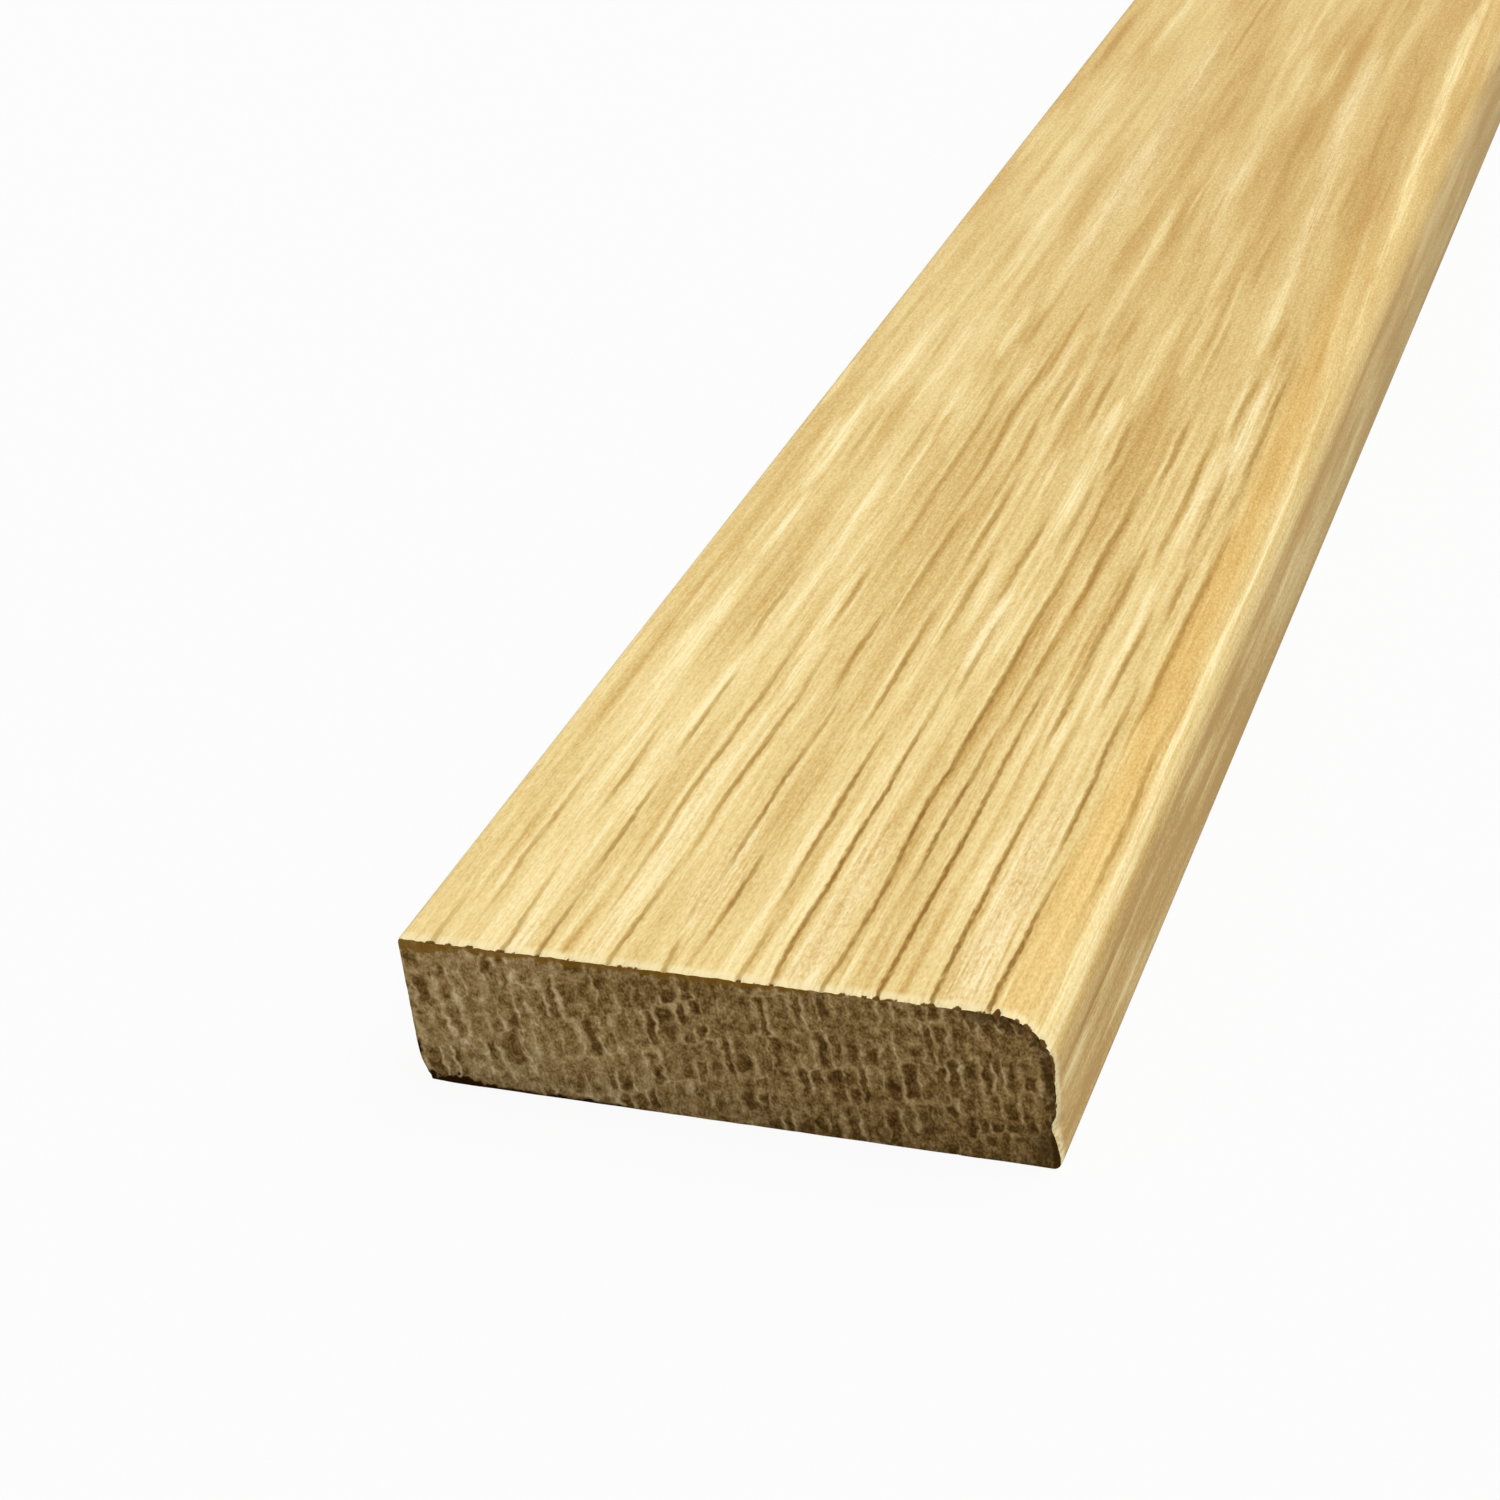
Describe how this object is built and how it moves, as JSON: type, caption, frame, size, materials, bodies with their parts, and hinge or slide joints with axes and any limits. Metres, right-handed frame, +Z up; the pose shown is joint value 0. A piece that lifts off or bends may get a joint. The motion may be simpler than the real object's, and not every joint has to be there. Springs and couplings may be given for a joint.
{
  "type": "window reveal trim",
  "caption": "Flat oak strip with one rounded long edge, fixed round a window reveal to cover the joint between the frame and the wall.",
  "frame": {"origin": "middle of the back face, which lies on the floor", "axes": "+X across the width towards the rounded edge, +Y along the grain, +Z up through the thickness to the show face"},
  "size_m": [0.046, 1.2, 0.012],
  "materials": {
    "oak": "planed and unfinished, open grain"
  },
  "bodies": {
    "root": {"reveal_trim": "oak"}
  },
  "joints": []
}
